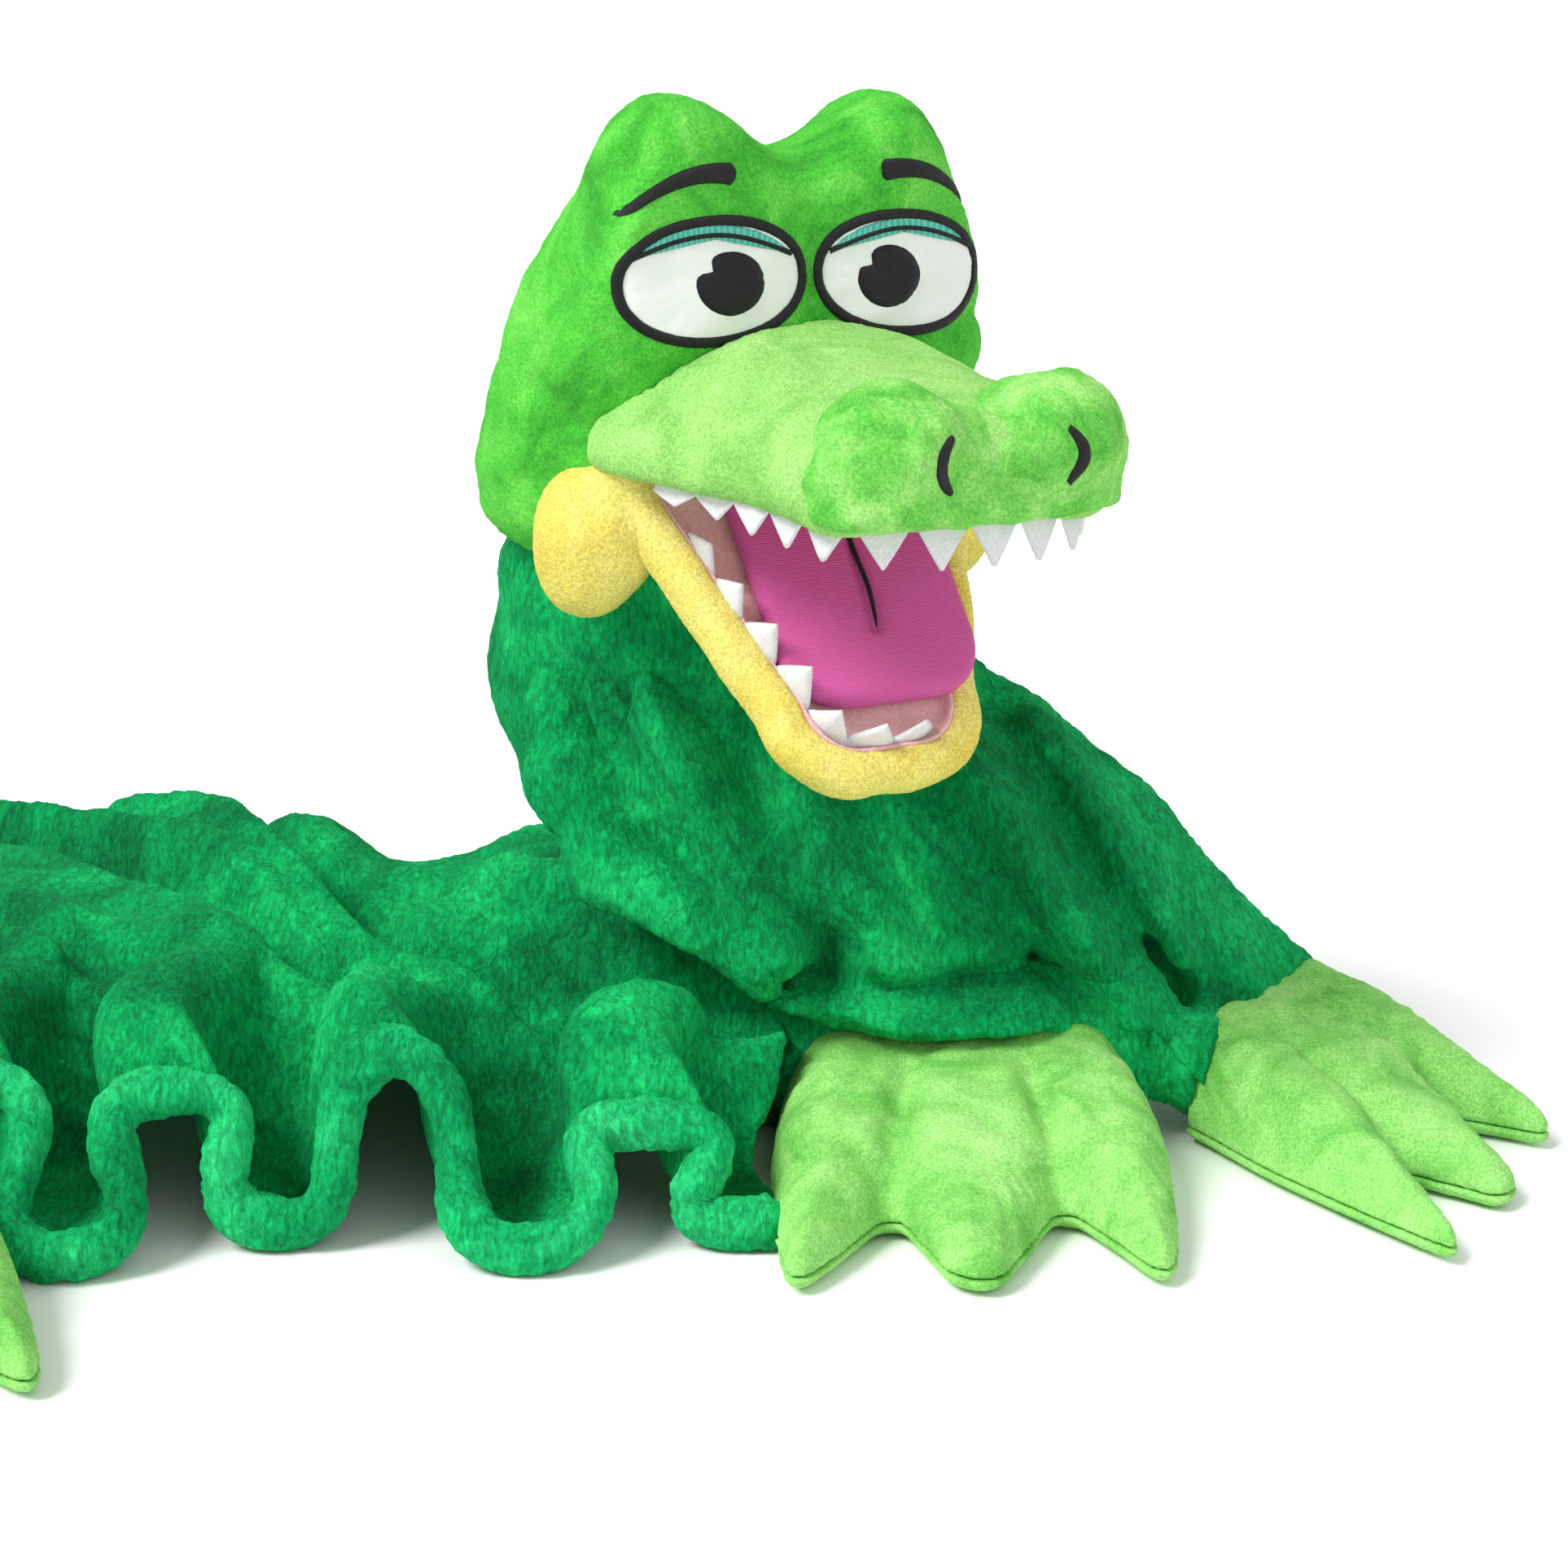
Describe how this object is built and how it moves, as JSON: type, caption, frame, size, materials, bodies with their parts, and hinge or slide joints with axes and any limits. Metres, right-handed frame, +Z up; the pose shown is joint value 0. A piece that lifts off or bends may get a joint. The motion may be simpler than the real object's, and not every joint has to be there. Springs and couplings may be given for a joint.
{
  "type": "moving mouth hand puppet",
  "caption": "Plush crocodile hand puppet with a hinged mouth, raised on a draped plush blanket with stuffed paws.",
  "frame": {"origin": "middle of the footprint, on the floor", "axes": "+X from the trailing blanket towards the head's end, -Y towards the viewer, +Z up; the head looks from -Y turned 31 degrees to +X"},
  "size_m": [0.724, 0.6898, 0.402],
  "materials": {
    "head_plush": "short plush pile",
    "snout_plush": "short plush pile",
    "cloak_fleece": "deep plush pile",
    "paw_plush": "short plush pile",
    "jaw_plush": "short plush pile",
    "white_felt": "felt",
    "black_thread": "satin stitch",
    "lid_thread": "satin stitch",
    "mouth_satin": "smooth woven",
    "tongue_knit": "fine rib knit",
    "lining_cloth": "woven",
    "fibre_fill": "loose fibre",
    "mouth_board": "matte"
  },
  "bodies": {
    "body": {"cloak": "cloak_fleece", "arm_lining": "lining_cloth", "blanket": "cloak_fleece", "hem_ruffle": "cloak_fleece", "near_arm_sleeve": "cloak_fleece", "far_arm_sleeve": "cloak_fleece", "near_leg_sleeve": "cloak_fleece", "far_leg_sleeve": "cloak_fleece"},
    "neck": {"neck_cover": "cloak_fleece", "neck_lining": "lining_cloth"},
    "head": {"head_cover": "head_plush", "head_stuffing": "fibre_fill", "head_lining": "lining_cloth", "snout_cover": "snout_plush", "snout_stuffing": "fibre_fill", "finger_pocket": "lining_cloth", "upper_mouth_board": "mouth_board", "upper_mouth_lining": "mouth_satin", "upper_teeth": "white_felt", "nose_pad": "snout_plush", "left_nostril": "black_thread", "right_nostril": "black_thread", "left_cheek": "jaw_plush", "right_cheek": "jaw_plush", "mouth_fold": "mouth_satin", "left_eye_white": "white_felt", "left_eye_outline": "black_thread", "left_eyelid": "lid_thread", "left_pupil": "black_thread", "left_eyebrow": "black_thread", "right_eye_white": "white_felt", "right_eye_outline": "black_thread", "right_eyelid": "lid_thread", "right_pupil": "black_thread", "right_eyebrow": "black_thread"},
    "jaw": {"jaw_cover": "jaw_plush", "jaw_stuffing": "fibre_fill", "lower_mouth_board": "mouth_board", "lower_mouth_lining": "mouth_satin", "thumb_pocket": "lining_cloth", "tongue": "tongue_knit", "tongue_stitch": "black_thread", "lower_teeth": "white_felt"},
    "near_front_paw": {"near_front_paw_top": "paw_plush", "near_front_paw_sole": "paw_plush", "near_front_paw_stuffing": "fibre_fill"},
    "far_front_paw": {"far_front_paw_top": "paw_plush", "far_front_paw_sole": "paw_plush", "far_front_paw_stuffing": "fibre_fill"},
    "near_hind_paw": {"near_hind_paw_top": "paw_plush", "near_hind_paw_sole": "paw_plush", "near_hind_paw_stuffing": "fibre_fill"},
    "far_hind_paw": {"far_hind_paw_top": "paw_plush", "far_hind_paw_sole": "paw_plush", "far_hind_paw_stuffing": "fibre_fill"}
  },
  "joints": [
    {"name": "neck_turn", "type": "hinge", "parent": "body", "child": "neck", "pos_m": [0.0367, 0.00714, 0.19], "axis": [0, 0, 1], "range_deg": [-20, 20]},
    {"name": "head_nod", "type": "hinge", "parent": "neck", "child": "head", "pos_m": [0.0367, 0.00714, 0.235], "axis": [0.8572, 0.515, 0], "range_deg": [-8, 10]},
    {"name": "jaw_close", "type": "hinge", "parent": "head", "child": "jaw", "pos_m": [0.07018, -0.04857, 0.272], "axis": [-0.8572, -0.515, 0], "range_deg": [0, 42]},
    {"name": "near_front_lift", "type": "hinge", "parent": "body", "child": "near_front_paw", "pos_m": [0.134, -0.055, 0.05], "axis": [-1, 0, 0], "range_deg": [0, 30]},
    {"name": "far_front_lift", "type": "hinge", "parent": "body", "child": "far_front_paw", "pos_m": [0.2606, 0, 0.05], "axis": [-0.5, -0.866, 0], "range_deg": [0, 30]},
    {"name": "near_hind_lift", "type": "hinge", "parent": "body", "child": "near_hind_paw", "pos_m": [-0.294, -0.184, 0.05], "axis": [-0.9063, -0.4226, 0], "range_deg": [0, 30]},
    {"name": "far_hind_lift", "type": "hinge", "parent": "body", "child": "far_hind_paw", "pos_m": [-0.294, 0.184, 0.05], "axis": [0.9063, -0.4226, 0], "range_deg": [0, 30]}
  ]
}
